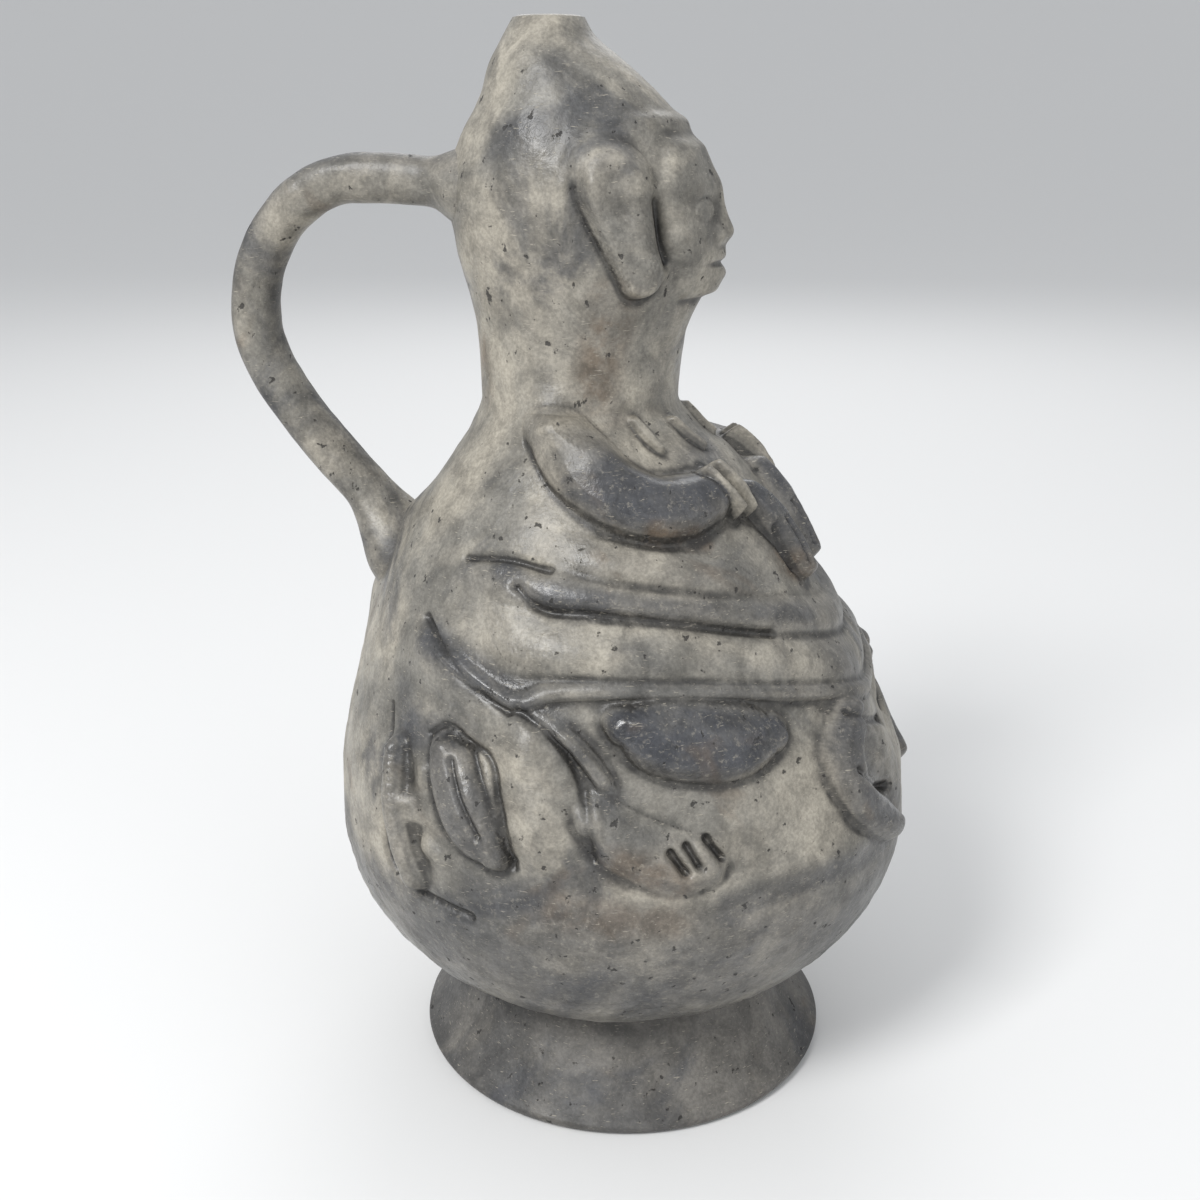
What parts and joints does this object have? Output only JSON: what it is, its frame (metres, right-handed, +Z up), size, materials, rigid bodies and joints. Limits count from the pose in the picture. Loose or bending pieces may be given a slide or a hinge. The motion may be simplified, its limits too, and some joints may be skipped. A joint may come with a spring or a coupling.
{
  "type": "ceramic figural bottle",
  "caption": "Smoke-fired grey ceramic bottle shaped as a seated figure, with a pedestal foot, a conical cap spout and a strap handle.",
  "frame": {"origin": "middle of the object's box, on the surface it stands on", "axes": "+Z up, +X towards the figure's front, -Y the figure's right side"},
  "size_m": [0.1464, 0.1202, 0.22],
  "materials": {
    "grey_clay": "satin",
    "burnished_clay": "burnished",
    "foot_clay": "matte"
  },
  "bodies": {
    "root": {"pedestal_foot": "foot_clay", "body_half_right": "grey_clay", "body_half_left": "grey_clay", "neck_tube": "grey_clay", "head_spout": "grey_clay", "face_plate": "grey_clay", "handle_strap": "grey_clay", "waist_band": "grey_clay", "belly_band": "grey_clay", "hem_band": "grey_clay", "ear_right": "grey_clay", "ear_left": "grey_clay", "arm_right": "burnished_clay", "arm_left": "burnished_clay", "bracelet_1_right": "grey_clay", "bracelet_1_left": "grey_clay", "bracelet_2_right": "grey_clay", "bracelet_2_left": "grey_clay", "hand_right": "burnished_clay", "hand_left": "burnished_clay", "collar_bar_1_right": "grey_clay", "collar_bar_1_left": "grey_clay", "collar_bar_2_right": "grey_clay", "collar_bar_2_left": "grey_clay", "under_arm_fold_right": "grey_clay", "under_arm_fold_left": "grey_clay", "leaf_boss_right": "burnished_clay", "leaf_boss_left": "burnished_clay", "front_lobe_right": "burnished_clay", "front_lobe_left": "burnished_clay", "shin_ridge_right": "grey_clay", "shin_ridge_left": "grey_clay", "thigh_right": "grey_clay", "thigh_left": "grey_clay", "toe_foot_right": "grey_clay", "toe_foot_left": "grey_clay", "almond_boss_right": "burnished_clay", "almond_boss_left": "burnished_clay", "back_boss_right": "grey_clay", "back_boss_left": "grey_clay"}
  },
  "joints": []
}
